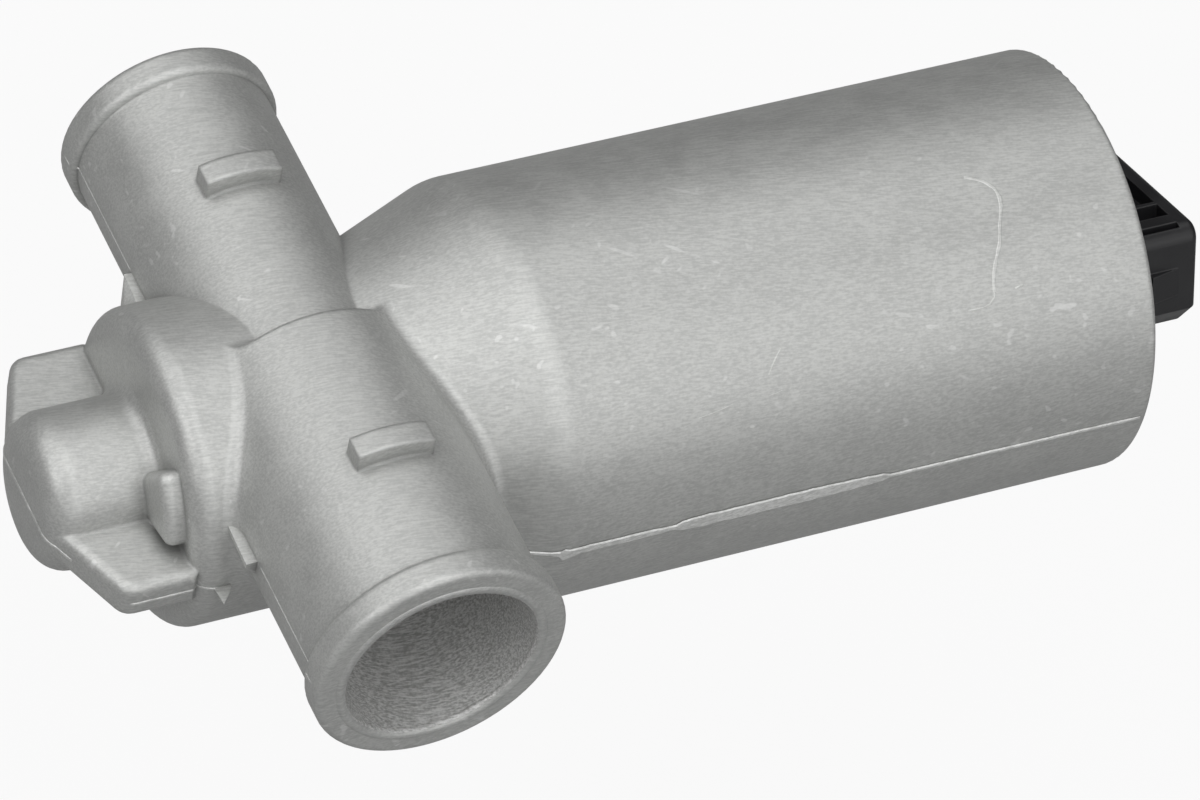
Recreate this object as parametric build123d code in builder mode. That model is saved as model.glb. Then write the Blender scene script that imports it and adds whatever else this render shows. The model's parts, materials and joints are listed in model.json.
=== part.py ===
from build123d import *
import os
from math import asin, cos, pi, radians, sin, sqrt, tan

# Idle air control valve, rotary type, in millimetres.
# X runs along the motor axis towards the plug. Y runs along the two hose spigots, the large one on -Y.
# Z points away from the clamp, towards the side on which the spigots stand off the motor axis.
# The origin is on the motor axis, in the middle of the barrel that the clamp holds.

# Barrel, cone and valve chamber of the casting
barrel_radius = 25.0
barrel_length = 75.0
barrel_wall = 2.5
cone_length = 17.6
cone_blend = 9.0
chamber_radius = 18.5
chamber_length = 24.5
chamber_bore = 15.5
chamber_wall = 3.0
chamber_edge = 2.8
shoulder_setback = 1.5
rim_edge = 0.5

# Nose of the casting: a round bearing boss between two wings on the parting plane
boss_radius = 9.2
boss_length = 13.3
boss_edge = 3.6
boss_root = 1.7
nose_bore_radius = 3.3
wing_reach = 18.0
wing_tip_reach = 7.4
wing_half_thickness = 2.45
wing_length = 8.2
wing_slope = 23.0
wing_corner = 2.2
wing_edge = 1.2
pad_radius = 15.2
pad_length = 2.3
pad_round = 1.2
pad_edge = 1.2
pad_start = 14.0
pad_end = 50.0

# Hose spigots
spigot_setback = 5.4
spigot_rise = 8.4
large_spigot_radius = 14.2
large_spigot_bore = 11.5
large_spigot_root = 1.8
large_bore_depth = 24.6
small_spigot_radius = 12.0
small_spigot_bore = 9.4
spigot_reach = 41.6
spigot_step = 1.3
bead_height = 0.85
bead_width = 3.8
hose_stop_from_mouth = 18.2
hose_stop_width = 2.9
hose_stop_length = 9.2
hose_stop_height = 2.3
port_width = 14.0
port_low = 1.0
port_high = 13.0
port_corner = 1.5
port_tunnel = 10.5
port_lap = 0.5
small_bore_end = 6.0

# Motor bay
seat_gap = 0.05
running_gap = 0.3
partition_step = 3.5
partition_thickness = 6.0
partition_web = 3.0
partition_rim = 2.5
partition_hub = 5.0
flux_ring_wall = 2.0
magnet_thickness = 4.5
magnet_arc = 112.0
magnet_lead = 6.0
spring_strip = 0.5
spring_inset = 2.0
spring_lip = 1.8
spring_depth = 3.0
spring_play = 1.0
core_lead = 9.0
core_gap = 0.7
core_yoke_setback = 0.8
shoe_depth = 2.4
shoe_slot = 3.0
insulator_thickness = 1.0
coil_gap = 0.3
commutator_length = 7.0
commutator_radius = 6.0
commutator_wall = 1.3
commutator_split = 8.0
commutator_clearance = 2.0
segment_count = 3
brush_size = 4.0
brush_thickness = 3.0
brush_length = 7.5
holder_wall = 1.0
holder_inner = 8.0
holder_clearance = 3.4
leaf_clearance = 2.4
leaf_width = 3.4
hub_lap = 1.5
carrier_plate = 3.0
carrier_skirt = 7.0
leaf_thickness = 0.4

# Shaft and bearings
shaft_radius = 2.0
bearing_outer = 5.5
bearing_width = 4.0
bearing_ring = 0.95
ball_radius = 1.0
ball_count = 7
ball_gap = 0.05
bearing_recess = 3.4
shaft_end_room = 4.0
shaft_front_lead = 2.0
shaft_rear_lead = 1.0
shaft_chamfer = 0.3
snap_ring_width = 0.6
snap_groove = 1.6
snap_ring_radius = 3.0
snap_ring_lead = 1.1
snap_ring_opening = 50.0

# Rotary slider
slider_wall = 2.0
slider_web = 1.8
slider_hub = 4.6
slider_length = 22.0
slider_arc = 70.0
slider_start = -8.0
pin_radius = 0.75
slider_travel = 60.0
stop_pin_radius = 1.25
stop_pin_circle_radius = 10.5
stop_pin_lap = 1.6

# Plug cap
cap_thickness = 8.8
cap_recess = 1.45
cap_skirt = 2.0
cap_skirt_length = 5.2
stake_count = 4
stake_arc = 13.0
stake_reach = 1.4
stake_depth = 0.3
seal_section = 1.1
plug_clocking = 21.0
plug_reach = 12.85
plug_width = 22.6
plug_height = 13.9
plug_wall = 1.3
plug_round = 2.0
plug_key = 3.0
plug_mouth_round = 0.9
plug_floor = 1.5
plug_rim = 2.1
rib_depth = 2.0
rib_slots = ((0.0, 8.1), (6.1, 2.9), (9.9, 0.9))
latch_setback = 2.5
latch_length = 4.0
latch_width = 3.6
latch_height = 1.0
leg_width = 2.8
blade_pitch = 5.0
blade_width = 2.8
blade_thickness = 0.8
blade_recess = 4.5
tail_clearance = 3.4
terminal_lift = 3.0

# Overlap of pieces that are joined into one casting
lap = 1.0

# Places along the axis
rim_x = barrel_length / 2
cone_end_x = -barrel_length / 2
cone_start_x = cone_end_x - cone_length
chamber_front_x = cone_start_x - chamber_length
boss_end_x = chamber_front_x - boss_length
spigot_x = cone_start_x - spigot_setback
barrel_bore = barrel_radius - barrel_wall
partition_radius = barrel_bore - partition_step
motor_shoulder_x = cone_end_x + shoulder_setback
partition_front_x = motor_shoulder_x - partition_thickness
chamber_floor_x = chamber_front_x + chamber_wall
front_bearing_x = chamber_floor_x - bearing_recess - bearing_width
nose_bore_x = front_bearing_x - shaft_end_room
snap_ring_x = front_bearing_x - snap_ring_lead
shaft_front_x = front_bearing_x - shaft_front_lead
slider_front_x = spigot_x - slider_length / 2
slider_rear_x = spigot_x + slider_length / 2

# The motor bay is stacked from the rim inwards: cap, carrier, flux ring
cap_back_x = rim_x - cap_recess
cap_front_x = cap_back_x - cap_thickness
carrier_back_x = cap_front_x - cap_skirt_length
carrier_plate_x = carrier_back_x - carrier_plate
carrier_front_x = carrier_plate_x - carrier_skirt
flux_ring_end_x = carrier_front_x - seat_gap
flux_ring_length = flux_ring_end_x - motor_shoulder_x
rear_bearing_x = carrier_plate_x
shaft_rear_x = rear_bearing_x + bearing_width + shaft_rear_lead
commutator_end_x = carrier_plate_x - commutator_clearance
commutator_x = commutator_end_x - commutator_length
terminal_leg_x = carrier_back_x + terminal_lift
plug_mouth_x = rim_x + plug_reach

# Sizes that follow from the barrel's bore
magnet_outer = barrel_bore - seat_gap - flux_ring_wall - seat_gap
magnet_inner = magnet_outer - magnet_thickness
magnet_length = flux_ring_length - 2 * magnet_lead
magnet_start_x = motor_shoulder_x + magnet_lead
core_radius = magnet_inner - core_gap
core_length = flux_ring_length - 2 * core_lead
core_start_x = motor_shoulder_x + core_lead
core_end_x = core_start_x + core_length
tooth_width = (core_radius - shoe_depth) / 2
coil_half_width = tooth_width - coil_gap
coil_build = coil_half_width - tooth_width / 2 - coil_gap
coil_inner = coil_half_width + coil_gap
coil_outer = sqrt((core_radius - shoe_depth - coil_gap) ** 2 - coil_half_width**2)
core_yoke = coil_inner - core_yoke_setback
holder_outer = magnet_outer - holder_clearance
leaf_radius = magnet_outer - leaf_clearance
cap_radius = barrel_bore - 2 * seat_gap
tail_radius = cap_radius - cap_skirt - tail_clearance

# The slider's two stops
stop_play = running_gap + stop_pin_radius
stop_margin = asin(stop_play / stop_pin_circle_radius) * 180 / pi
stop_angles = (slider_start + slider_arc + stop_margin, slider_start - slider_travel - stop_margin)

spigot_plane = Plane(origin=(spigot_x, 0, spigot_rise), x_dir=(1, 0, 0), z_dir=(0, -1, 0))
clock = radians(plug_clocking)


def plug_plane(x):
    # Local x runs across the wide side of the plug, local y down its narrow side.
    return Plane(origin=(x, 0, 0), x_dir=(0, -cos(clock), sin(clock)), z_dir=(1, 0, 0))


def axis_plane(x):
    # Local x is -Y, local y is Z, so that angles rise from the large spigot over the top.
    return Plane(origin=(x, 0, 0), x_dir=(0, -1, 0), z_dir=(-1, 0, 0))


def save(piece, label):
    piece.part.label = label
    export_step(piece.part, f"parts/{label}.step")


def turned(points, mode=Mode.ADD):
    # A solid of revolution about the motor axis, from its half section.
    with BuildSketch(Plane.XY) as section:
        with BuildLine():
            Polyline(*points, close=True)
        make_face()
    revolve(section.sketch, axis=Axis.X, mode=mode)


def tube(start, end, inner, outer, mode=Mode.ADD):
    # A tube, ring or rod about the motor axis.
    with BuildSketch(axis_plane(start)) as section:
        Circle(outer)
        if inner > 0:
            Circle(inner, mode=Mode.SUBTRACT)
    extrude(section.sketch, amount=start - end, mode=mode)


def circle_edge(piece, x, radius):
    # The round edges of a piece about the motor axis, at one place along it.
    round_edges = piece.edges().filter_by(GeomType.CIRCLE)
    return round_edges.filter_by(
        lambda edge: abs(edge.arc_center.X - x) < 0.01 and abs(edge.radius - radius) < 0.01
    )


def sector(inner, outer, start, arc, mode=Mode.ADD):
    # A ring sector in the sketch in hand, from start through arc degrees.
    with BuildLine() as outline:
        far = CenterArc((0, 0), outer, start, arc)
        near = CenterArc((0, 0), inner, start, arc)
        Line(far @ 0, near @ 0)
        Line(far @ 1, near @ 1)
    make_face(outline.edges(), mode=mode)


def teeth(reach):
    # The yoke and four teeth of the armature, out to a radius, in the sketch in hand.
    Circle(core_yoke)
    with PolarLocations(reach / 2, 4):
        Rectangle(reach, tooth_width)
    Circle(shaft_radius + seat_gap, mode=Mode.SUBTRACT)


def shroud_outline(inset, top):
    # The plug's section, rounded on the ribbed side at local height top and keyed on the other.
    half_width = plug_width / 2 - inset
    bottom = plug_height / 2 - inset
    with BuildSketch(mode=Mode.PRIVATE) as outline:
        with Locations((0, (top + bottom) / 2)):
            Rectangle(2 * half_width, bottom - top)
        corners = outline.vertices().sort_by(Axis.Y)
        fillet(corners[:2], plug_round - inset)
        chamfer(outline.vertices().sort_by(Axis.Y)[-2:], plug_key - inset / 2)
    add(outline.sketch)


os.makedirs("parts", exist_ok=True)

# The casting, in one piece
with BuildPart() as housing:
    # Nose boss, chamber, cone and barrel, turned about the motor axis
    turned(
        [
            (boss_end_x, 0),
            (boss_end_x, boss_radius),
            (chamber_front_x, boss_radius),
            (chamber_front_x, chamber_radius),
            (cone_start_x, chamber_radius),
            (cone_end_x, barrel_radius),
            (rim_x, barrel_radius),
            (rim_x, 0),
        ]
    )
    rounds = [
        (boss_end_x, boss_radius, boss_edge),
        (chamber_front_x, boss_radius, boss_root),
        (chamber_front_x, chamber_radius, chamber_edge),
        (cone_end_x, barrel_radius, cone_blend),
        (rim_x, barrel_radius, rim_edge),
    ]
    for x, radius, size in rounds:
        fillet(circle_edge(housing, x, radius), size)
    # Spigots, the large one rounded into the chamber and the cone
    spigots = ((large_spigot_radius, 1), (small_spigot_radius, -1))
    for radius, way in spigots:
        with BuildSketch(spigot_plane.offset(spigot_step)):
            Circle(radius)
        extrude(amount=way * spigot_reach - spigot_step)
        if way == 1:
            fillet(housing.edges(Select.NEW), large_spigot_root)
    # Wings of the nose, on the parting plane
    wing_x = chamber_front_x - wing_length
    wing_tip_x = wing_x - (wing_reach - wing_tip_reach) * tan(radians(wing_slope))
    wing_root_x = chamber_front_x + lap
    with BuildPart(mode=Mode.PRIVATE) as wings:
        with BuildSketch(Plane.XY.offset(-wing_half_thickness)) as wing_outline:
            with BuildLine():
                Polyline(
                    (wing_root_x, wing_reach - lap),
                    (chamber_front_x, wing_reach),
                    (wing_x, wing_reach),
                    (wing_tip_x, wing_tip_reach),
                    (wing_tip_x, -wing_tip_reach),
                    (wing_x, -wing_reach),
                    (chamber_front_x, -wing_reach),
                    (wing_root_x, lap - wing_reach),
                    close=True,
                )
            make_face()
            fillet(wing_outline.vertices().filter_by_position(Axis.X, wing_x - 0.1, wing_x + 0.1), wing_corner)
        extrude(amount=2 * wing_half_thickness)
        flat_edges = wings.faces().filter_by(Axis.Z).edges()
        fillet(flat_edges.filter_by(lambda e: e.center().X < chamber_front_x), wing_edge)
    add(wings.part)
    # Pad beside the boss
    with BuildPart(mode=Mode.PRIVATE) as pad:
        with BuildSketch(axis_plane(chamber_front_x + lap)) as pad_outline:
            sector(boss_radius - 2 * pad_edge, pad_radius, pad_start, pad_end - pad_start)
            fillet(pad_outline.vertices().group_by(SortBy.DISTANCE)[-1], pad_round)
        extrude(amount=pad_length + lap)
        fillet(pad.faces().sort_by(Axis.X)[0].edges(), pad_edge)
    add(pad.part)
    # A bead at each spigot's mouth and a hose stop on both sides
    for radius, way in spigots:
        with BuildSketch(spigot_plane.offset(way * spigot_reach)):
            Circle(radius + bead_height)
        extrude(amount=-way * bead_width)
        for y in (spigot_reach, spigot_reach - bead_width):
            bead_edge = housing.edges().filter_by(GeomType.CIRCLE).filter_by(
                lambda e, y=y, way=way, radius=radius: abs(e.arc_center.Y + way * y) < 0.01
                and abs(e.radius - radius - bead_height) < 0.01
            )
            fillet(bead_edge, bead_height - 0.05)
        with BuildSketch(spigot_plane.offset(way * (spigot_reach - hose_stop_from_mouth))):
            Circle(radius + hose_stop_height)
            Rectangle(hose_stop_length, 3 * radius, mode=Mode.INTERSECT)
        extrude(amount=-way * hose_stop_width)
    # Motor bay, partition seat, chamber and nose bearing seat, bored from the rim
    turned(
        [
            (nose_bore_x, 0),
            (nose_bore_x, nose_bore_radius),
            (front_bearing_x, nose_bore_radius),
            (front_bearing_x, bearing_outer),
            (chamber_floor_x, bearing_outer),
            (chamber_floor_x, chamber_bore),
            (partition_front_x, chamber_bore),
            (partition_front_x, partition_radius),
            (motor_shoulder_x, partition_radius),
            (motor_shoulder_x, barrel_bore),
            (rim_x + 1, barrel_bore),
            (rim_x + 1, 0),
        ],
        mode=Mode.SUBTRACT,
    )
    # Air passage: blind bore, port and through bore
    with BuildSketch(spigot_plane.offset(spigot_reach)):
        Circle(large_spigot_bore)
    extrude(amount=-large_bore_depth, mode=Mode.SUBTRACT)
    with BuildSketch(spigot_plane.offset(spigot_reach - large_bore_depth + port_lap)) as port:
        with Locations((0, (port_low + port_high) / 2 - spigot_rise)):
            RectangleRounded(port_width, port_high - port_low, port_corner)
    extrude(amount=-port_tunnel, mode=Mode.SUBTRACT)
    with BuildSketch(spigot_plane.offset(-spigot_reach)):
        Circle(small_spigot_bore)
    extrude(amount=spigot_reach - small_bore_end, mode=Mode.SUBTRACT)
    # Lugs of the rim, staked over the plug cap
    for turn in range(stake_count):
        with BuildSketch(axis_plane(rim_x - stake_depth)):
            middle = plug_clocking + 360 / stake_count * (turn + 0.5)
            sector(barrel_bore - stake_reach, barrel_bore + 0.5, middle - stake_arc / 2, stake_arc)
        extrude(amount=rim_x - stake_depth - cap_back_x - seat_gap)
save(housing, "housing")


def ball_bearing(x, label):
    # A shielded-size ball bearing whose left face is at x.
    middle = x + bearing_width / 2
    pitch = (shaft_radius + bearing_outer) / 2
    rings = (
        ("outer_race", bearing_outer - bearing_ring, bearing_outer - seat_gap),
        ("inner_race", shaft_radius + seat_gap, shaft_radius + bearing_ring),
    )
    for ring, inner, outer in rings:
        with BuildPart() as race:
            tube(x, x + bearing_width, inner, outer)
            with Locations((middle, 0, 0)):
                Torus(pitch, ball_radius + ball_gap, rotation=(0, 90, 0), mode=Mode.SUBTRACT)
        save(race, f"{label}_{ring}")
    with BuildPart() as balls:
        with Locations(axis_plane(middle)):
            with PolarLocations(pitch, ball_count):
                Sphere(ball_radius)
    save(balls, f"{label}_balls")


ball_bearing(front_bearing_x, "front_bearing")
ball_bearing(rear_bearing_x, "rear_bearing")

# Wall between the valve chamber and the motor bay
with BuildPart() as partition_plate:
    turned(
        [
            (partition_front_x, shaft_radius + running_gap),
            (partition_front_x, partition_radius - seat_gap),
            (motor_shoulder_x, partition_radius - seat_gap),
            (motor_shoulder_x, partition_radius - partition_rim),
            (partition_front_x + partition_web, partition_radius - partition_rim),
            (partition_front_x + partition_web, partition_hub),
            (motor_shoulder_x, partition_hub),
            (motor_shoulder_x, shaft_radius + running_gap),
        ]
    )
    with BuildSketch(axis_plane(partition_front_x)):
        for angle in stop_angles:
            with PolarLocations(stop_pin_circle_radius, 1, start_angle=angle):
                Circle(stop_pin_radius + 0.02)
    extrude(amount=-partition_web, mode=Mode.SUBTRACT)
save(partition_plate, "partition_plate")

with BuildPart() as stop_pins:
    with BuildSketch(axis_plane(partition_front_x + partition_web)):
        for angle in stop_angles:
            with PolarLocations(stop_pin_circle_radius, 1, start_angle=angle):
                Circle(stop_pin_radius)
    extrude(amount=partition_web + partition_front_x - slider_rear_x + stop_pin_lap)
save(stop_pins, "stop_pins")

# Motor: flux ring, two magnets and the springs that press them apart
with BuildPart() as flux_ring:
    tube(motor_shoulder_x, flux_ring_end_x, magnet_outer + seat_gap, barrel_bore - seat_gap)
save(flux_ring, "flux_ring")

for label, middle in (("magnet_upper", 90), ("magnet_lower", 270)):
    with BuildPart() as magnet:
        with BuildSketch(axis_plane(magnet_start_x)):
            sector(magnet_inner, magnet_outer, middle - magnet_arc / 2, magnet_arc)
        extrude(amount=-magnet_length)
    save(magnet, label)

spring_half = 90 - magnet_arc / 2 - spring_play
for label, middle in (("magnet_spring_1", 0), ("magnet_spring_2", 180)):
    with BuildPart() as magnet_spring:
        with BuildSketch(axis_plane(magnet_start_x + spring_inset)):
            sector(magnet_outer - spring_strip, magnet_outer, middle - spring_half, 2 * spring_half)
            for lip in (middle - spring_half, middle + spring_half - spring_lip):
                sector(magnet_outer - spring_depth, magnet_outer, lip, spring_lip)
        extrude(amount=-(magnet_length - 2 * spring_inset))
    save(magnet_spring, label)

# Rotor: shaft with its snap ring, slider and pin
with BuildPart() as shaft:
    tube(shaft_front_x, shaft_rear_x, 0, shaft_radius)
    chamfer(shaft.edges().filter_by(GeomType.CIRCLE), shaft_chamfer)
    tube(snap_ring_x, snap_ring_x + snap_ring_width, snap_groove, shaft_radius + 1, Mode.SUBTRACT)
    with BuildSketch(Plane.XY.offset(-shaft_radius - 1)):
        with Locations((spigot_x, 0)):
            Circle(pin_radius + 0.02)
    extrude(amount=2 * shaft_radius + 2, mode=Mode.SUBTRACT)
save(shaft, "shaft")

with BuildPart() as snap_ring:
    with BuildSketch(axis_plane(snap_ring_x + seat_gap)):
        sector(snap_groove + 0.03, snap_ring_radius, snap_ring_opening / 2, 360 - snap_ring_opening)
    extrude(amount=-(snap_ring_width - 2 * seat_gap))
save(snap_ring, "snap_ring")

with BuildPart() as rotary_slider:
    slider_radius = chamber_bore - running_gap
    with BuildSketch(axis_plane(slider_rear_x)):
        sector(slider_radius - slider_wall, slider_radius, slider_start, slider_arc)
    extrude(amount=slider_length)
    for x in (slider_rear_x, slider_front_x + slider_web):
        with BuildSketch(axis_plane(x)):
            sector(shaft_radius + 1, slider_radius - slider_wall / 2, slider_start, slider_arc)
        extrude(amount=slider_web)
    tube(slider_front_x, slider_rear_x, 0, slider_hub)
    tube(slider_front_x, slider_rear_x, 0, shaft_radius + seat_gap, Mode.SUBTRACT)
    with BuildSketch(Plane.XY.offset(-slider_hub - 1)):
        with Locations((spigot_x, 0)):
            Circle(pin_radius + 0.02)
    extrude(amount=2 * slider_hub + 2, mode=Mode.SUBTRACT)
save(rotary_slider, "rotary_slider")

with BuildPart() as slider_pin:
    with BuildSketch(Plane.XY.offset(-slider_hub)):
        with Locations((spigot_x, 0)):
            Circle(pin_radius)
    extrude(amount=2 * slider_hub)
save(slider_pin, "slider_pin")

# Armature: laminated core, end insulators and two crossed windings
with BuildPart() as armature_core:
    with BuildSketch(axis_plane(core_end_x)):
        Circle(core_radius)
        Circle(core_radius - shoe_depth, mode=Mode.SUBTRACT)
        with PolarLocations(core_radius, 4, start_angle=45):
            Rectangle(3 * shoe_depth, shoe_slot, mode=Mode.SUBTRACT)
        teeth(core_radius - shoe_depth / 2)
    extrude(amount=core_length)
save(armature_core, "armature_core")

insulator_places = (
    ("insulator_front", core_start_x - seat_gap),
    ("insulator_rear", core_end_x + insulator_thickness + seat_gap),
)
for label, x in insulator_places:
    with BuildPart() as insulator:
        with BuildSketch(axis_plane(x)):
            teeth(coil_outer)
        extrude(amount=insulator_thickness)
    save(insulator, label)

hole_length = core_length + 2 * (insulator_thickness + seat_gap + coil_gap)
hole_width = tooth_width + 2 * coil_gap
for label, first in (("winding_a", 0), ("winding_b", 90)):
    with BuildPart() as winding:
        for angle in (first, first + 180):
            out = Vector(0, -cos(radians(angle)), sin(radians(angle)))
            middle = Vector((core_start_x + core_end_x) / 2, 0, 0)
            with BuildSketch(Plane(origin=middle + out * coil_inner, x_dir=(1, 0, 0), z_dir=out)):
                RectangleRounded(hole_length + 2 * coil_build, 2 * coil_half_width, coil_build - 0.2)
                Rectangle(hole_length, hole_width, mode=Mode.SUBTRACT)
            extrude(amount=coil_outer - coil_inner)
    save(winding, label)

# Commutator: moulded hub and three segments
with BuildPart() as commutator_hub:
    tube(
        commutator_x - hub_lap,
        commutator_end_x + 1,
        shaft_radius + seat_gap,
        commutator_radius - commutator_wall - seat_gap,
    )
save(commutator_hub, "commutator_hub")

segment_pitch = 360 / segment_count
for index in range(segment_count):
    with BuildPart() as commutator_segment:
        with BuildSketch(axis_plane(commutator_x)):
            start = plug_clocking + segment_pitch * (index - 0.25) + commutator_split / 2
            arc = segment_pitch - commutator_split
            sector(commutator_radius - commutator_wall, commutator_radius, start, arc)
        extrude(amount=-commutator_length)
    save(commutator_segment, f"commutator_segment_{index + 1}")

# Brush carrier, brushes and the leaf springs behind them
brush_angles = [plug_clocking - turn for turn in (210, 90, 330)]
brush_x = (commutator_x + commutator_end_x) / 2
brush_inner = commutator_radius + running_gap
slot_width = brush_size + 0.2
slot_thickness = brush_thickness + 0.2


def brush_plane(angle, radius):
    # Local x is X, local y runs round the motor axis, and the normal points outwards.
    out = Vector(0, -cos(radians(angle)), sin(radians(angle)))
    return Plane(origin=Vector(brush_x, 0, 0) + out * radius, x_dir=(1, 0, 0), z_dir=out)


with BuildPart() as brush_carrier:
    tube(carrier_front_x, carrier_plate_x, magnet_outer + seat_gap, barrel_bore - seat_gap)
    tube(carrier_plate_x, carrier_back_x, bearing_outer + 1, barrel_bore - seat_gap)
    tube(carrier_plate_x, rear_bearing_x + bearing_width, bearing_outer, bearing_outer + 2)
    holder_front = brush_x - slot_thickness / 2 - holder_wall
    holder_length = carrier_plate_x + 0.5 - holder_front
    for angle in brush_angles:
        with BuildSketch(brush_plane(angle, holder_inner)):
            with Locations((holder_front + holder_length / 2 - brush_x, 0)):
                Rectangle(holder_length, slot_width + 2 * holder_wall)
        extrude(amount=holder_outer - holder_inner)
        with BuildSketch(brush_plane(angle, holder_inner - 1)):
            Rectangle(slot_thickness, slot_width)
        extrude(amount=holder_outer - holder_inner + 2, mode=Mode.SUBTRACT)
save(brush_carrier, "brush_carrier")

for index, angle in enumerate(brush_angles):
    with BuildPart() as brush:
        with BuildSketch(brush_plane(angle, brush_inner)):
            Rectangle(brush_thickness, brush_size)
        extrude(amount=brush_length)
    save(brush, f"brush_{index + 1}")

    # The leaf stands on the carrier plate and folds in behind the brush.
    out = Vector(0, -cos(radians(angle)), sin(radians(angle)))
    leaf_plane = Plane(origin=(0, 0, 0), x_dir=(1, 0, 0), z_dir=Vector(1, 0, 0).cross(out))
    brush_back = brush_inner + brush_length + leaf_thickness / 2 + 0.1
    fold_x = brush_x - brush_thickness / 2 + leaf_thickness / 2
    with BuildPart() as brush_spring:
        with BuildSketch(leaf_plane):
            with BuildLine() as strip:
                Polyline(
                    (carrier_plate_x - 0.02, leaf_radius),
                    (fold_x, leaf_radius),
                    (fold_x, brush_back),
                    (brush_x + brush_thickness / 2 - 0.3, brush_back),
                )
            trace(line_width=leaf_thickness)
        extrude(amount=leaf_width / 2, both=True)
    save(brush_spring, f"brush_spring_{index + 1}")

# Plug cap with its shroud, ribs and latch ramps
blade_row = [-blade_pitch, 0, blade_pitch]
blade_drop = rib_depth / 2
tail_turns = [210, 90, 330]
seal_x = (cap_front_x + cap_back_x) / 2
plug_top = -plug_height / 2
latch_x = plug_mouth_x - latch_setback
with BuildPart() as connector_cap:
    tube(cap_front_x, cap_back_x, 0, cap_radius)
    tube(carrier_back_x + seat_gap, cap_front_x, cap_radius - cap_skirt, cap_radius)
    tube(
        seal_x - seal_section - 0.1,
        seal_x + seal_section + 0.1,
        barrel_bore - 2 * seal_section - 3 * seat_gap,
        barrel_radius,
        Mode.SUBTRACT,
    )
    # Shroud, with slots between the ribs of its wide top wall and a closed rim at the mouth
    with BuildSketch(plug_plane(cap_back_x)):
        shroud_outline(0, plug_top)
        for middle, width in rib_slots:
            with Locations((middle, plug_top), (-middle, plug_top)):
                Rectangle(width, 2 * rib_depth, mode=Mode.SUBTRACT)
    extrude(amount=plug_mouth_x - plug_rim - cap_back_x)
    with BuildSketch(plug_plane(plug_mouth_x - plug_rim)):
        shroud_outline(0, plug_top)
    extrude(amount=plug_rim)
    fillet(connector_cap.faces().sort_by(Axis.X)[-1].edges(), plug_mouth_round)
    with BuildSketch(plug_plane(plug_mouth_x)):
        shroud_outline(plug_wall, plug_top + rib_depth + plug_wall)
    extrude(amount=-(plug_mouth_x - cap_back_x - plug_floor), mode=Mode.SUBTRACT)
    # Latch ramps on the narrow walls, for the harness plug's clips
    with BuildSketch(Plane(origin=(0, 0, 0), x_dir=(1, 0, 0), z_dir=plug_plane(0).y_dir)):
        for side in (1, -1):
            wall = plug_width / 2
            with BuildLine() as ramp:
                Polyline(
                    (latch_x, side * (wall - plug_wall / 2)),
                    (latch_x, side * wall),
                    (latch_x - latch_length, side * (wall + latch_height)),
                    (latch_x - latch_length, side * (wall - plug_wall / 2)),
                    close=True,
                )
            make_face(ramp.edges())
    extrude(amount=latch_width / 2, both=True)
    with BuildSketch(plug_plane(cap_front_x - 1)):
        for place in blade_row:
            with Locations((place, blade_drop)):
                Rectangle(blade_width, blade_thickness)
    extrude(amount=cap_thickness + plug_floor + 1, mode=Mode.SUBTRACT)
save(connector_cap, "connector_cap")

with BuildPart() as cap_seal:
    with Locations((seal_x, 0, 0)):
        Torus(barrel_bore - seal_section - seat_gap, seal_section, rotation=(0, 90, 0))
save(cap_seal, "cap_seal")

for index, (place, turn) in enumerate(zip(blade_row, tail_turns)):
    with BuildPart() as terminal:
        with BuildSketch(plug_plane(terminal_leg_x)):
            with Locations((place, blade_drop)):
                Rectangle(blade_width, blade_thickness)
        extrude(amount=plug_mouth_x - blade_recess - terminal_leg_x)
        with BuildSketch(plug_plane(terminal_leg_x)):
            with BuildLine():
                Line(
                    (place, blade_drop),
                    (tail_radius * cos(radians(turn)), tail_radius * sin(radians(turn))),
                )
            trace(line_width=leg_width)
        extrude(amount=blade_thickness)
        with BuildSketch(plug_plane(carrier_back_x + seat_gap)):
            with PolarLocations(tail_radius, 1, start_angle=turn):
                Rectangle(blade_thickness, leg_width)
        extrude(amount=terminal_leg_x - carrier_back_x - seat_gap + blade_thickness)
    save(terminal, f"terminal_{index + 1}")
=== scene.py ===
import json
import math
import random
import bmesh
import bpy
from mathutils import Matrix, Vector
from mathutils.bvhtree import BVHTree


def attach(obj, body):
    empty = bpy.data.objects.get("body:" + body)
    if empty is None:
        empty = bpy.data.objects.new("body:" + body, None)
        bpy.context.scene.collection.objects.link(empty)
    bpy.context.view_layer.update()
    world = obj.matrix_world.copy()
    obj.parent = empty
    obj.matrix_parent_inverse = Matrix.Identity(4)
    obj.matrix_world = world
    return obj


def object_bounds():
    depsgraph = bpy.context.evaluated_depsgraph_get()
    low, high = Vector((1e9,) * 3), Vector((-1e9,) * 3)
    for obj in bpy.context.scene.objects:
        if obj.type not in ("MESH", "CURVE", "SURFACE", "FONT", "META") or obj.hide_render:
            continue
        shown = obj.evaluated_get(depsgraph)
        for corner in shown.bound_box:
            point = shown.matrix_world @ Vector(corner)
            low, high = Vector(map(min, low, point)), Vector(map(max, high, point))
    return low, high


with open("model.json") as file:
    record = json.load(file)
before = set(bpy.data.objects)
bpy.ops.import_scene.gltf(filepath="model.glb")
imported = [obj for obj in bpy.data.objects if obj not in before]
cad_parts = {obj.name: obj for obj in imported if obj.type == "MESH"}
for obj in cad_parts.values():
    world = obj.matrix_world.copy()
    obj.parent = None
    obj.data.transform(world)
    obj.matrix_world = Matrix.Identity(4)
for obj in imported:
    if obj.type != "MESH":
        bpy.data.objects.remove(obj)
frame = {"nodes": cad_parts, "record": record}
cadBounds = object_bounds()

mm = 0.001
print("frame loaded:", len(frame["nodes"]), "nodes")


# Small helpers for node trees
def addNode(tree, kind, **settings):
    node = tree.nodes.new(kind)
    for name, value in settings.items():
        setattr(node, name, value)
    return node


def wire(tree, source, target):
    tree.links.new(source, target)


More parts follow.
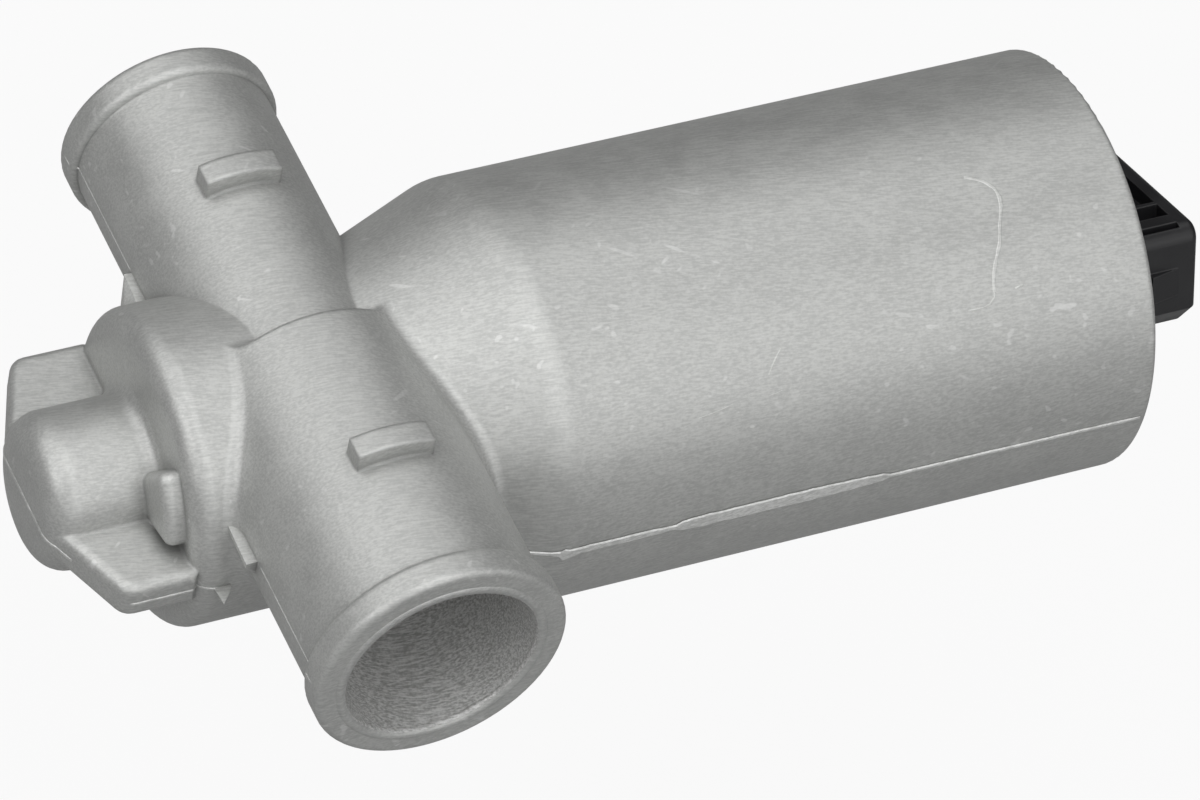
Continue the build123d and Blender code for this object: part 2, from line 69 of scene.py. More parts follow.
def feed(tree, socket, value):
    # a value is either another node's output or a plain number, vector or colour
    if isinstance(value, bpy.types.NodeSocket):
        wire(tree, value, socket)
    else:
        socket.default_value = value


def calculate(tree, operation, first, second=0.0, clamp=False):
    node = addNode(tree, "ShaderNodeMath", operation=operation, use_clamp=clamp)
    feed(tree, node.inputs[0], first)
    feed(tree, node.inputs[1], second)
    return node.outputs[0]


def weigh(tree, values, shares):
    # two values added up by their shares
    parts = [calculate(tree, "MULTIPLY", value, share) for value, share in zip(values, shares)]
    return calculate(tree, "ADD", *parts)


def distanceOff(tree, first, second):
    # how far a point lies off an axis, from its two distances across it
    squares = [calculate(tree, "POWER", part, 2.0) for part in (first, second)]
    return calculate(tree, "SQRT", calculate(tree, "ADD", *squares))


def remap(tree, value, fromLow, fromHigh, toLow=0.0, toHigh=1.0):
    node = addNode(tree, "ShaderNodeMapRange", interpolation_type="SMOOTHSTEP")
    feed(tree, node.inputs["Value"], value)
    feed(tree, node.inputs["From Min"], fromLow)
    feed(tree, node.inputs["From Max"], fromHigh)
    feed(tree, node.inputs["To Min"], toLow)
    feed(tree, node.inputs["To Max"], toHigh)
    return node.outputs["Result"]


mixSockets = {"factor": 0, "first": 6, "second": 7, "mixed": 2}  # where a Mix node has its colours


def mixColour(tree, factor, first, second):
    node = addNode(tree, "ShaderNodeMix", data_type="RGBA")
    feed(tree, node.inputs[mixSockets["factor"]], factor)
    feed(tree, node.inputs[mixSockets["first"]], first)
    feed(tree, node.inputs[mixSockets["second"]], second)
    return node.outputs[mixSockets["mixed"]]


def layOver(tree, below, mask, share, colour):
    # a thin layer of colour where the mask is white
    return mixColour(tree, calculate(tree, "MULTIPLY", mask, share), below, colour)


def mixShaders(tree, factor, first, second):
    node = addNode(tree, "ShaderNodeMixShader")
    for socket, source in zip(node.inputs, (factor, first, second)):
        wire(tree, source, socket)
    return node.outputs[0]


def noise(tree, coordinates, scale, detail, roughness):
    node = addNode(tree, "ShaderNodeTexNoise")
    feed(tree, node.inputs["Vector"], coordinates)
    feed(tree, node.inputs["Scale"], scale)
    feed(tree, node.inputs["Detail"], detail)
    feed(tree, node.inputs["Roughness"], roughness)
    return node.outputs["Fac"]


def stretched(tree, coordinates, turn, scale):
    # turns the pattern so that its long way lies on X, then squeezes it
    turned = addNode(tree, "ShaderNodeMapping", vector_type="POINT")
    wire(tree, coordinates, turned.inputs["Vector"])
    turned.inputs["Rotation"].default_value = turn
    squeezed = addNode(tree, "ShaderNodeMapping", vector_type="POINT")
    wire(tree, turned.outputs[0], squeezed.inputs["Vector"])
    squeezed.inputs["Scale"].default_value = scale
    return squeezed.outputs[0]


def separated(tree, vector):
    node = addNode(tree, "ShaderNodeSeparateXYZ")
    wire(tree, vector, node.inputs[0])
    return node.outputs


def newGroup(name, inputs, outputs):
    tree = bpy.data.node_groups.new(name, "ShaderNodeTree")
    for label, kind, value in inputs:
        socket = tree.interface.new_socket(label, in_out="INPUT", socket_type=kind)
        if value is not None:
            socket.default_value = value
    for label, kind in outputs:
        tree.interface.new_socket(label, in_out="OUTPUT", socket_type=kind)
    return tree, addNode(tree, "NodeGroupInput").outputs, addNode(tree, "NodeGroupOutput").inputs


def useGroup(tree, group, **values):
    node = addNode(tree, "ShaderNodeGroup", node_tree=group)
    for label, value in values.items():
        feed(tree, node.inputs[label], value)
    return node.outputs


# Shared effects
castGrainForm = {
    "turn": (0.0, math.radians(5.4), math.radians(12.0)),  # long way of the fine streaks
    "squeeze": (0.11, 1.0, 1.0),
    "fine": 4400.0,
    "broad": 210.0,
    "speckleScale": 0.6,  # of the fine scale
    "streakNoise": {"detail": 2.0, "roughness": 0.6},
    "speckleNoise": {"detail": 3.0, "roughness": 0.6},
    "cloudNoise": {"detail": 4.0, "roughness": 0.6},
    "toneShares": (0.65, 0.35),  # streak and speckle
    "heightShares": (0.3, 0.7),
}


def makeCastGrain():
    # fine streaks and speckle of a blasted casting, with slow clouds under them
    form = castGrainForm
    tree, given, out = newGroup(
        "castGrain",
        [
            ("Vector", "NodeSocketVector", None),
            ("Fine", "NodeSocketFloat", form["fine"]),
            ("Broad", "NodeSocketFloat", form["broad"]),
        ],
        [("Tone", "NodeSocketFloat"), ("Cloud", "NodeSocketFloat"), ("Height", "NodeSocketFloat")],
    )
    place = stretched(tree, given["Vector"], form["turn"], form["squeeze"])
    streak = noise(tree, place, given["Fine"], **form["streakNoise"])
    speckleScale = calculate(tree, "MULTIPLY", given["Fine"], form["speckleScale"])
    speckle = noise(tree, given["Vector"], speckleScale, **form["speckleNoise"])
    cloud = noise(tree, given["Vector"], given["Broad"], **form["cloudNoise"])
    wire(tree, weigh(tree, (streak, speckle), form["toneShares"]), out["Tone"])
    wire(tree, cloud, out["Cloud"])
    wire(tree, weigh(tree, (streak, speckle), form["heightShares"]), out["Height"])
    return tree


softEdgeForm = {"radius": 0.5 * mm, "sharpness": 0.08, "samples": 6}


def makeSoftEdge():
    # how far a rounded normal leaves the true one: white on worn edges
    tree, given, out = newGroup(
        "softEdge",
        [
            ("Radius", "NodeSocketFloat", softEdgeForm["radius"]),
            ("Sharpness", "NodeSocketFloat", softEdgeForm["sharpness"]),
        ],
        [("Mask", "NodeSocketFloat"), ("Normal", "NodeSocketVector")],
    )
    bevel = addNode(tree, "ShaderNodeBevel", samples=softEdgeForm["samples"])
    wire(tree, given["Radius"], bevel.inputs["Radius"])
    rounded = bevel.outputs["Normal"]
    same = addNode(tree, "ShaderNodeVectorMath", operation="DOT_PRODUCT")
    wire(tree, rounded, same.inputs[0])
    wire(tree, addNode(tree, "ShaderNodeNewGeometry").outputs["Normal"], same.inputs[1])
    gap = calculate(tree, "SUBTRACT", 1.0, same.outputs["Value"])
    wire(tree, remap(tree, gap, 0.0, given["Sharpness"]), out["Mask"])
    wire(tree, rounded, out["Normal"])
    return tree


handlingForm = {
    "turns": ((0.0, 0.17, 0.62), (0.4, -0.3, -0.75)),  # two ways in which the scratches run
    "squeeze": (0.10, 1.0, 1.0),
    "scale": 750.0,
    "lineNoise": {"detail": 1.0, "roughness": 0.5},
    "lineLimits": (0.69, 0.76),  # higher is rarer
    "clusterScale": 55.0,
    "clusterNoise": {"detail": 2.0, "roughness": 0.5},
    "clusterLimits": (0.42, 0.60),
    "clusterShares": (0.15, 1.0),  # between the clusters and in them
}


def makeHandlingMarks():
    # white on sparse short scratches, in clusters
    form = handlingForm
    tree, given, out = newGroup(
        "handlingMarks", [("Vector", "NodeSocketVector", None)], [("Mask", "NodeSocketFloat")],
    )
    total = 0.0
    for turn in form["turns"]:
        place = stretched(tree, given["Vector"], turn, form["squeeze"])
        lines = noise(tree, place, form["scale"], **form["lineNoise"])
        total = calculate(tree, "ADD", remap(tree, lines, *form["lineLimits"]), total, clamp=True)
    cluster = noise(tree, given["Vector"], form["clusterScale"], **form["clusterNoise"])
    cluster = remap(tree, cluster, *form["clusterLimits"], *form["clusterShares"])
    wire(tree, calculate(tree, "MULTIPLY", total, cluster), out["Mask"])
    return tree


creaseForm = {"reach": 2.3 * mm, "samples": 6, "openLimits": (0.35, 0.92)}


def makePaintedCreaseShade():
    # white in tight inner corners, where painted shade darkens the creases
    tree, given, out = newGroup(
        "paintedCreaseShade", [("Reach", "NodeSocketFloat", creaseForm["reach"])], [("Mask", "NodeSocketFloat")],
    )
    hollow = addNode(tree, "ShaderNodeAmbientOcclusion", samples=creaseForm["samples"])
    wire(tree, given["Reach"], hollow.inputs["Distance"])
    wire(tree, remap(tree, hollow.outputs["AO"], *creaseForm["openLimits"], 1.0, 0.0), out["Mask"])
    return tree


boreSkinForm = {
    "axis": (-60.5 * mm, 0.0, 8.4 * mm),
    "largeBore": 11.53 * mm,  # just past the bores, so that their walls are inside
    "smallBore": 9.43 * mm,
}


def makeBoreSkin():
    # white inside the two spigots, where the skin is rough from the mould
    tree, given, out = newGroup(
        "boreSkin", [("Vector", "NodeSocketVector", None)], [("Mask", "NodeSocketFloat")],
    )
    centred = addNode(tree, "ShaderNodeMapping", vector_type="POINT")
    wire(tree, given["Vector"], centred.inputs["Vector"])
    centred.inputs["Location"].default_value = [-number for number in boreSkinForm["axis"]]
    parts = separated(tree, centred.outputs[0])
    radius = distanceOff(tree, parts["X"], parts["Z"])
    largeSide = calculate(tree, "LESS_THAN", parts["Y"], 0.0)
    limit = remap(tree, largeSide, 0.0, 1.0, boreSkinForm["smallBore"], boreSkinForm["largeBore"])
    wire(tree, calculate(tree, "LESS_THAN", radius, limit), out["Mask"])
    return tree


mouldedSkinForm = {
    "scale": 3000.0,
    "grainNoise": {"detail": 2.0, "roughness": 0.5},
    "cloudScale": 160.0,
    "cloudNoise": {"detail": 3.0, "roughness": 0.5},
}


def makeMouldedSkin():
    # fine even grain of a moulded or pressed surface
    form = mouldedSkinForm
    tree, given, out = newGroup(
        "mouldedSkin",
        [("Vector", "NodeSocketVector", None), ("Scale", "NodeSocketFloat", form["scale"])],
        [("Grain", "NodeSocketFloat"), ("Cloud", "NodeSocketFloat")],
    )
    wire(tree, noise(tree, given["Vector"], given["Scale"], **form["grainNoise"]), out["Grain"])
    wire(tree, noise(tree, given["Vector"], form["cloudScale"], **form["cloudNoise"]), out["Cloud"])
    return tree


turnedMarksForm = {
    "pitch": 6000.0,
    "markNoise": {"detail": 2.0, "roughness": 0.6},
    "toneScale": 220.0,
    "toneNoise": {"detail": 3.0, "roughness": 0.6},
}


def makeTurnedMarks():
    # tool marks that run round the motor axis
    form = turnedMarksForm
    tree, given, out = newGroup(
        "turnedMarks",
        [("Vector", "NodeSocketVector", None), ("Pitch", "NodeSocketFloat", form["pitch"])],
        [("Height", "NodeSocketFloat"), ("Tone", "NodeSocketFloat")],
    )
    parts = separated(tree, given["Vector"])
    line = addNode(tree, "ShaderNodeCombineXYZ")
    wire(tree, parts["X"], line.inputs["X"])
    wire(tree, distanceOff(tree, parts["Y"], parts["Z"]), line.inputs["Y"])
    wire(tree, noise(tree, line.outputs[0], given["Pitch"], **form["markNoise"]), out["Height"])
    wire(tree, noise(tree, given["Vector"], form["toneScale"], **form["toneNoise"]), out["Tone"])
    return tree


castGrain = makeCastGrain()
softEdge = makeSoftEdge()
handlingMarks = makeHandlingMarks()
paintedCreaseShade = makePaintedCreaseShade()
boreSkin = makeBoreSkin()
mouldedSkin = makeMouldedSkin()
turnedMarks = makeTurnedMarks()
print("shader groups made")


# Materials
def startMaterial(name):
    material = bpy.data.materials.new(name)
    material.use_nodes = True
    tree = material.node_tree
    sockets = tree.nodes["Principled BSDF"].inputs
    coordinates = addNode(tree, "ShaderNodeTexCoord").outputs["Object"]
    return material, tree, sockets, coordinates


def addBump(tree, sockets, height, normal, look):
    bump = addNode(tree, "ShaderNodeBump")
    bump.inputs["Strength"].default_value = look["bump"]
    bump.inputs["Distance"].default_value = look["bumpDepth"]
    wire(tree, height, bump.inputs["Height"])
    wire(tree, normal, bump.inputs["Normal"])
    wire(tree, bump.outputs[0], sockets["Normal"])


castFinishes = {
    # the blasted skin of the housing
    "castAluminium": {
        "dark": (0.445, 0.45, 0.44, 1.0),
        "light": (0.57, 0.575, 0.56, 1.0),
        "worn": (0.80, 0.80, 0.79, 1.0),
        "metallic": 0.6,
        "roughness": (0.44, 0.50),
        "edgeRadius": 0.7 * mm,
        "edgeShare": 0.12,
        "bump": 0.2,
        "bumpDepth": 0.04 * mm,
    },
    # rub marks, ridges and webs, a little brighter than the skin
    "rubbedAluminium": {
        "dark": (0.55, 0.555, 0.54, 1.0),
        "light": (0.70, 0.705, 0.69, 1.0),
        "worn": (0.80, 0.80, 0.79, 1.0),
        "metallic": 0.6,
        "roughness": (0.40, 0.46),
        "edgeRadius": 0.05 * mm,
        "edgeShare": 0.0,
        "bump": 0.1,
        "bumpDepth": 0.03 * mm,
    },
    # where the file has taken the blasted skin away
    "filedAluminium": {
        "dark": (0.60, 0.605, 0.59, 1.0),
        "light": (0.84, 0.845, 0.83, 1.0),
        "worn": (0.88, 0.88, 0.87, 1.0),
        "metallic": 0.5,
        "roughness": (0.40, 0.48),
        "edgeRadius": 0.08 * mm,
        "edgeShare": 0.2,
        "bump": 0.2,
        "bumpDepth": 0.03 * mm,
    },
}
castLook = {
    # the same for all three
    "toneShares": (0.8, 0.2),  # fine tone and slow cloud
    "toneLimits": (0.37, 0.63),
    "roughLimits": (0.3, 0.7),
    "boreLimits": (0.36, 0.64),
    "boreDark": (0.40, 0.40, 0.39, 1.0),
    "boreLight": (0.78, 0.78, 0.77, 1.0),
    "boreMetallic": 0.4,
    "scratchShare": 0.4,
    # dark colour of the painted shade in tight inner corners
    "creaseShadeColour": (0.10, 0.10, 0.095, 1.0),
    "creaseShadeShare": 0.48,
}


def makeCast(name):
    finish, look = castFinishes[name], castLook
    material, tree, sockets, coordinates = startMaterial(name)
    grain = useGroup(tree, castGrain, Vector=coordinates)
    edge = useGroup(tree, softEdge, Radius=finish["edgeRadius"])
    bore = useGroup(tree, boreSkin, Vector=coordinates)["Mask"]
    scratches = useGroup(tree, handlingMarks, Vector=coordinates)["Mask"]
    creaseShade = useGroup(tree, paintedCreaseShade)["Mask"]

    tone = remap(tree, weigh(tree, (grain["Tone"], grain["Cloud"]), look["toneShares"]), *look["toneLimits"])
    outside = mixColour(tree, tone, finish["dark"], finish["light"])
    boreTone = remap(tree, grain["Tone"], *look["boreLimits"])
    inside = mixColour(tree, boreTone, look["boreDark"], look["boreLight"])
    colour = mixColour(tree, bore, outside, inside)
    colour = layOver(tree, colour, scratches, look["scratchShare"], finish["worn"])
    colour = layOver(tree, colour, edge["Mask"], finish["edgeShare"], finish["worn"])
    # painted shade: tight inner corners are darkened
    colour = layOver(tree, colour, creaseShade, look["creaseShadeShare"], look["creaseShadeColour"])
    wire(tree, colour, sockets["Base Color"])

    roughness = remap(tree, grain["Cloud"], *look["roughLimits"], *finish["roughness"])
    wire(tree, roughness, sockets["Roughness"])
    metallic = remap(tree, bore, 0.0, 1.0, finish["metallic"], look["boreMetallic"])
    wire(tree, metallic, sockets["Metallic"])
    addBump(tree, sockets, grain["Height"], edge["Normal"], finish)
    return material


turnedFinishes = {
    "machinedAluminium": {"low": (0.55, 0.55, 0.55, 1), "high": (0.72, 0.72, 0.72, 1), "rough": (0.25, 0.38)},
    "groundSteel": {"low": (0.42, 0.43, 0.44, 1), "high": (0.62, 0.62, 0.63, 1), "rough": (0.18, 0.32)},
    "laminatedSteel": {"low": (0.16, 0.16, 0.17, 1), "high": (0.34, 0.33, 0.33, 1), "rough": (0.35, 0.5)},
    "enamelCopper": {"low": (0.50, 0.20, 0.09, 1), "high": (0.74, 0.34, 0.18, 1), "rough": (0.22, 0.36)},
    "tinnedBrass": {"low": (0.60, 0.58, 0.52, 1), "high": (0.80, 0.78, 0.72, 1), "rough": (0.22, 0.35)},
}
turnedLook = {
    "edgeRadius": 0.15 * mm,
    "edgeShare": 0.4,
    "worn": (0.85, 0.84, 0.82, 1.0),
    "roughLimits": (0.3, 0.7),
    "metallic": 1.0,
    "bump": 0.25,
    "bumpDepth": 0.02 * mm,
}


def makeTurned(name):
    finish, look = turnedFinishes[name], turnedLook
    material, tree, sockets, coordinates = startMaterial(name)
    marks = useGroup(tree, turnedMarks, Vector=coordinates)
    edge = useGroup(tree, softEdge, Radius=look["edgeRadius"])
    colour = mixColour(tree, marks["Tone"], finish["low"], finish["high"])
    wire(tree, layOver(tree, colour, edge["Mask"], look["edgeShare"], look["worn"]), sockets["Base Color"])
    roughness = remap(tree, marks["Height"], *look["roughLimits"], *finish["rough"])
    wire(tree, roughness, sockets["Roughness"])
    sockets["Metallic"].default_value = look["metallic"]
    addBump(tree, sockets, marks["Height"], edge["Normal"], look)
    return material


mouldedFinishes = {
    "blackPlastic": {"low": (0.01, 0.01, 0.011, 1), "high": (0.022, 0.022, 0.024, 1), "rough": (0.32, 0.48)},
    "innerPlastic": {"low": (0.05, 0.045, 0.04, 1), "high": (0.10, 0.09, 0.08, 1), "rough": (0.42, 0.55)},
    "ferriteMagnet": {"low": (0.03, 0.03, 0.033, 1), "high": (0.07, 0.07, 0.075, 1), "rough": (0.55, 0.7)},
    "pressedCarbon": {"low": (0.02, 0.02, 0.02, 1), "high": (0.05, 0.05, 0.05, 1), "rough": (0.4, 0.6)},
    "sealRubber": {"low": (0.012, 0.012, 0.012, 1), "high": (0.025, 0.025, 0.025, 1), "rough": (0.5, 0.65)},
}
mouldedLook = {
    "edgeRadius": 0.25 * mm,
    "edgeShare": 0.12,
    "worn": (0.22, 0.22, 0.22, 1.0),
    "roughLimits": (0.3, 0.7),
    "bump": 0.2,
    "bumpDepth": 0.02 * mm,
}


def makeMoulded(name):
    finish, look = mouldedFinishes[name], mouldedLook
    material, tree, sockets, coordinates = startMaterial(name)
    skin = useGroup(tree, mouldedSkin, Vector=coordinates)
    edge = useGroup(tree, softEdge, Radius=look["edgeRadius"])
    colour = mixColour(tree, skin["Cloud"], finish["low"], finish["high"])
    wire(tree, layOver(tree, colour, edge["Mask"], look["edgeShare"], look["worn"]), sockets["Base Color"])
    roughness = remap(tree, skin["Cloud"], *look["roughLimits"], *finish["rough"])
    wire(tree, roughness, sockets["Roughness"])
    addBump(tree, sockets, skin["Grain"], edge["Normal"], look)
    return material


finishes = {name: makeTurned(name) for name in turnedFinishes}
finishes.update({name: makeMoulded(name) for name in mouldedFinishes})
finishes.update({name: makeCast(name) for name in castFinishes})
finishOfSlot = {
    "cast_aluminium": "castAluminium",
    "inner_aluminium": "machinedAluminium",
    "steel": "groundSteel",
    "core_steel": "laminatedSteel",
    "ferrite": "ferriteMagnet",
    "copper": "enamelCopper",
    "carbon": "pressedCarbon",
    "inner_plastic": "innerPlastic",
    "black_plastic": "blackPlastic",
    "seal_rubber": "sealRubber",
    "terminal_metal": "tinnedBrass",
}
for subpart in frame["record"]["subparts"]:
    piece = frame["nodes"][subpart["node"]]
    piece.data.materials.clear()
    piece.data.materials.append(finishes[finishOfSlot[subpart["material_slot"]]])
print("materials made:", len(finishes))


# Small helpers for pieces
def addObject(name, data):
    piece = bpy.data.objects.new(name, data)
    bpy.context.scene.collection.objects.link(piece)
    return piece


def meshFrom(name, shape):
    mesh = bpy.data.meshes.new(name)
    shape.to_mesh(mesh)
    shape.free()
    return mesh


def eachOnce(items):
    # in the order in which they come, so that every run builds the same mesh
    return list(dict.fromkeys(items))


def compassWay(heading, height):
    # a direction: degrees from +Y towards +X, then degrees above level
    heading, height = math.radians(heading), math.radians(height)
    level = math.cos(height)
    return Vector((math.sin(heading) * level, math.cos(heading) * level, math.sin(height)))


# Marks that casting, filing and handling leave on the housing; their places are in mm
housingShape = bmesh.new()
housingShape.from_mesh(frame["nodes"]["housing"].data)
housingSurface = BVHTree.FromBMesh(housingShape)
housingShape.free()
barrelClear = 60.0  # from the motor axis, well outside the barrel
random.seed(7)


def onHousing(start, way):
    # the point of the casting that a line from outside meets
    found = housingSurface.ray_cast(Vector(start) * mm, Vector(way).normalized())[0]
    return None if found is None else found / mm


def onBarrel(along, degrees):
    # degrees run from -Y over +Z round the motor axis
    angle = math.radians(degrees)
    outward = Vector((0.0, -math.cos(angle), math.sin(angle)))
    return onHousing(Vector((along, 0.0, 0.0)) + outward * barrelClear, -outward), outward


def keepMark(name, shape, finish):
    bmesh.ops.recalc_face_normals(shape, faces=shape.faces)
    mesh = meshFrom(name, shape)
    mesh.materials.append(finishes[finish])
    piece = addObject(name, mesh)
    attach(piece, "valve_body")


stripForm = {
    "slope": 0.16,
    "slopeShare": 0.5,  # at most, of the half width
    "sink": 0.05,
    "wall": 0.15,
    "edge": 2,  # columns run from -2 to 2 across the strip
}


def addStrip(shape, stations):
    # a low ridge laid on the casting; each station is its middle, outward way, half width and rise
    last, edge = len(stations) - 1, stripForm["edge"]
    made = bmesh.ops.create_grid(shape, x_segments=last, y_segments=2 * edge, size=1.0)["verts"]
    for corner in made:
        # the flat grid runs from -1 to 1 both ways
        row, column = round((corner.co.x + 1.0) / 2.0 * last), round(corner.co.y * edge)
        middle, outward, half, rise = stations[row]
        along = stations[min(row + 1, last)][0] - stations[max(row - 1, 0)][0]
        side = outward.cross(along).normalized()
        slope = min(stripForm["slope"], half * stripForm["slopeShare"])
        reach = {0: 0.0, 1: half - slope, edge: half}[abs(column)]
        sunk = abs(column) == edge or row in (0, last)
        height = -stripForm["sink"] if sunk else rise
        corner.co = (middle + side * math.copysign(reach, column) + outward * height) * mm
    faces = eachOnce(face for corner in made for face in corner.link_faces)
    bmesh.ops.recalc_face_normals(shape, faces=faces)
    bmesh.ops.solidify(shape, geom=faces, thickness=stripForm["wall"] * mm)


def spread(path, step):
    # finer steps between the given stations, whatever numbers they hold
    fine = [path[0]]
    for first, second in zip(path, path[1:]):
        count = max(1, round(max(abs(b - a) for a, b in zip(first, second)) / step))
        for k in range(1, count + 1):
            fine.append(tuple(a + (b - a) * k / count for a, b in zip(first, second)))
    return fine


partingBand = {
    # place along the axis, middle in degrees, half width in degrees
    "path": [
        (-41.8, 0.0, 0.35), (-38.6, 0.0, 0.4), (-37.6, -0.2, 0.9), (-37.1, -0.6, 2.2),
        (-36.4, -0.5, 1.5), (-35.0, 0.0, 1.15), (-26.0, 0.0, 1.15), (-24.2, 0.0, 0.8),
        (-23.2, 0.0, 0.8), (-22.5, 0.0, 1.7), (-20.0, 0.0, 2.1), (-3.0, 0.0, 2.1),
        (0.0, 0.0, 1.8), (3.0, 0.0, 1.3), (4.0, 0.0, 0.4), (15.0, -0.3, 0.38),
        (27.0, -0.6, 0.35), (36.6, -1.1, 0.35),
    ],
    "sides": (0.0, 180.0),  # degrees, one band on each side
    "step": 1.0,
    "sway": 0.054,  # degrees
    "widthShake": 0.09,  # share of the width
    "rise": 0.06,
}


def makePartingBand():
    shape = bmesh.new()
    sway, shake = partingBand["sway"], partingBand["widthShake"]
    for turned in partingBand["sides"]:
        stations = []
        for along, middle, half in spread(partingBand["path"], partingBand["step"]):
            middle += random.uniform(-sway, sway)
            half *= 1.0 + random.uniform(-shake, shake)
            point, outward = onBarrel(along, middle + turned)
            width = math.radians(half) * point.dot(outward)
            stations.append((point, outward, width, partingBand["rise"]))
        addStrip(shape, stations)
    keepMark("barrelPartingBand", shape, "filedAluminium")


rubMarks = {
    "step": 1.2,
    "widthShake": (0.8, 1.2),
    # each path has places along the axis and degrees
    "marks": {
        "witnessBand": {
            "path": [
                (17.4, 80.6), (18.7, 79.5), (20.3, 77.4), (21.2, 74.9), (21.4, 72.1), (21.2, 69.6),
                (20.3, 65.0), (19.6, 60.0), (18.6, 56.0), (18.0, 53.0), (17.6, 49.8), (17.5, 46.9),
            ],
            "half": 0.3,
            "rise": 0.03,
        },
        "witnessTail": {
            "path": [(17.6, 48.6), (17.4, 46.5), (16.7, 45.0), (15.8, 44.6), (14.7, 44.5), (13.1, 44.8)],
            "half": 0.13,
            "rise": 0.05,
        },
        "shortScratch": {
            "path": [(19.7, 47.3), (20.6, 47.8), (21.8, 48.3)],
            "half": 0.16,
            "rise": 0.05,
        },
        "longScratch": {
            "path": [(-21.9, 32.8), (-20.1, 33.3), (-18.2, 33.9), (-16.0, 35.0)],
            "half": 0.08,
            "rise": 0.045,
        },
        "endScratch": {
            "path": [(-12.9, 34.5), (-11.2, 34.9), (-9.4, 35.6)],
            "half": 0.08,
            "rise": 0.045,
        },
        "crossScratch": {
            "path": [(-9.6, 46.7), (-10.3, 44.9), (-11.2, 42.2), (-12.0, 39.4)],
            "half": 0.13,
            "rise": 0.04,
        },
    },
}


def makeRubMarks():
    shape = bmesh.new()
    for mark in rubMarks["marks"].values():
        stations = []
        for along, degrees in spread(mark["path"], rubMarks["step"]):
            point, outward = onBarrel(along, degrees)
            width = mark["half"] * random.uniform(*rubMarks["widthShake"])
            stations.append((point, outward, width, mark["rise"]))
        addStrip(shape, stations)
    keepMark("barrelRubMarks", shape, "rubbedAluminium")


mouthLips = {
    "radius": 0.7,
    "inside": 0.06,  # how far the rim stands into the bore
    "sunk": 0.5,  # its middle, below the mouth
    "turns": 96,
    "sides": 18,
    "mouths": {
        "largeSpigot": {"centre": (-60.5, -41.6, 8.4), "out": -1, "bore": 11.5},
        "smallSpigot": {"centre": (-60.5, 41.6, 8.4), "out": 1, "bore": 9.4},
    },
}


def makeMouthLips():
    # a rounded rim where the bore meets the mouth
    shape = bmesh.new()
    radius = mouthLips["radius"]
    for mouth in mouthLips["mouths"].values():
        ring = bmesh.ops.create_circle(shape, segments=mouthLips["sides"], radius=radius * mm)["verts"]
        edges = eachOnce(edge for corner in ring for edge in corner.link_edges)
        centre = Vector(mouth["centre"]) - Vector((0, mouth["out"] * mouthLips["sunk"], 0))
        offset = Vector((mouth["bore"] - mouthLips["inside"] + radius, 0, 0))
        bmesh.ops.translate(shape, verts=ring, vec=(centre + offset) * mm)
        bmesh.ops.spin(
            shape, geom=ring + edges, cent=centre * mm, axis=(0, 1, 0), angle=math.tau,
            steps=mouthLips["turns"], use_merge=True,
        )
    for face in shape.faces:
        face.smooth = True
    keepMark("mouthLips", shape, "castAluminium")


castingRidges = {
    "widthShake": (0.85, 1.15),
    "riseShake": (0.8, 1.2),
    # each line runs outside the casting and is laid on it along its way
    "lines": {
        "largeSpigotSide": {
            "ends": ((-95, -22.4, 8.4), (-95, -40.6, 8.4)),
            "way": (1, 0, 0),
            "half": 0.16,
            "rise": 0.05,
            "step": 1.0,
        },
        "smallSpigotSide": {
            "ends": ((-95, 20.8, 8.4), (-95, 40.6, 8.4)),
            "way": (1, 0, 0),
            "half": 0.16,
            "rise": 0.05,
            "step": 1.0,
        },
        "lowerWingEdge": {
            "ends": ((-87.4, -30, 0), (-76.6, -30, 0)),
            "way": (0, 1, 0),
            "half": 0.24,
            "rise": 0.1,
            "step": 0.6,
        },
        "upperWingEdge": {
            "ends": ((-87.4, 30, 0), (-76.6, 30, 0)),
            "way": (0, -1, 0),
            "half": 0.24,
            "rise": 0.1,
            "step": 0.6,
        },
        "bossEnd": {
            "ends": ((-120, -10.4, 0), (-120, 10.4, 0)),
            "way": (1, 0, 0),
            "half": 0.3,
            "rise": 0.09,
            "step": 0.5,
        },
    },
}


def makeCastingRidges():
    shape = bmesh.new()
    for line in castingRidges["lines"].values():
        first, last = (Vector(end) for end in line["ends"])
        outward = -Vector(line["way"])
        count = round((last - first).length / line["step"])
        stations = []
        for k in range(count + 1):
            point = onHousing(first.lerp(last, k / count), line["way"])
            if point is not None:
                width = line["half"] * random.uniform(*castingRidges["widthShake"])
                rise = line["rise"] * random.uniform(*castingRidges["riseShake"])
                stations.append((point, outward, width, rise))
        addStrip(shape, stations)
    keepMark("castingRidges", shape, "rubbedAluminium")


rootLugs = {
    # corners of the small webs that the mould's parting leaves at the spigots' roots
    "largeSpigot": [
        (-75.9, -16.4, 8.4), (-74.0, -16.4, 8.4), (-74.0, -22.3, 8.4), (-76.05, -22.4, 8.4),
        (-76.05, -22.4, 7.8), (-75.9, -16.4, 7.8), (-74.4, -16.4, 4.6), (-74.0, -21.4, 4.8),
        (-72.5, -16.4, 4.0), (-72.5, -21.4, 4.2),
    ],
    "smallSpigot": [
        (-73.4, 21.2, 8.45), (-71.9, 21.1, 8.45), (-73.6, 16.4, 8.45), (-71.9, 16.4, 8.4),
        (-72.3, 22.6, 6.0), (-74.7, 18.4, 6.0), (-75.1, 16.4, 6.8), (-71.2, 16.4, 5.0),
        (-71.0, 22.4, 5.4),
    ],
    "partingTab": [
        (-77.3, -17.6, 0.16), (-77.0, -20.85, 0.1), (-75.4, -19.1, 0.16), (-75.0, -17.2, 0.16),
        (-77.3, -17.6, -0.16), (-77.0, -20.85, -0.1), (-75.4, -19.1, -0.16), (-75.0, -17.2, -0.16),
    ],
}


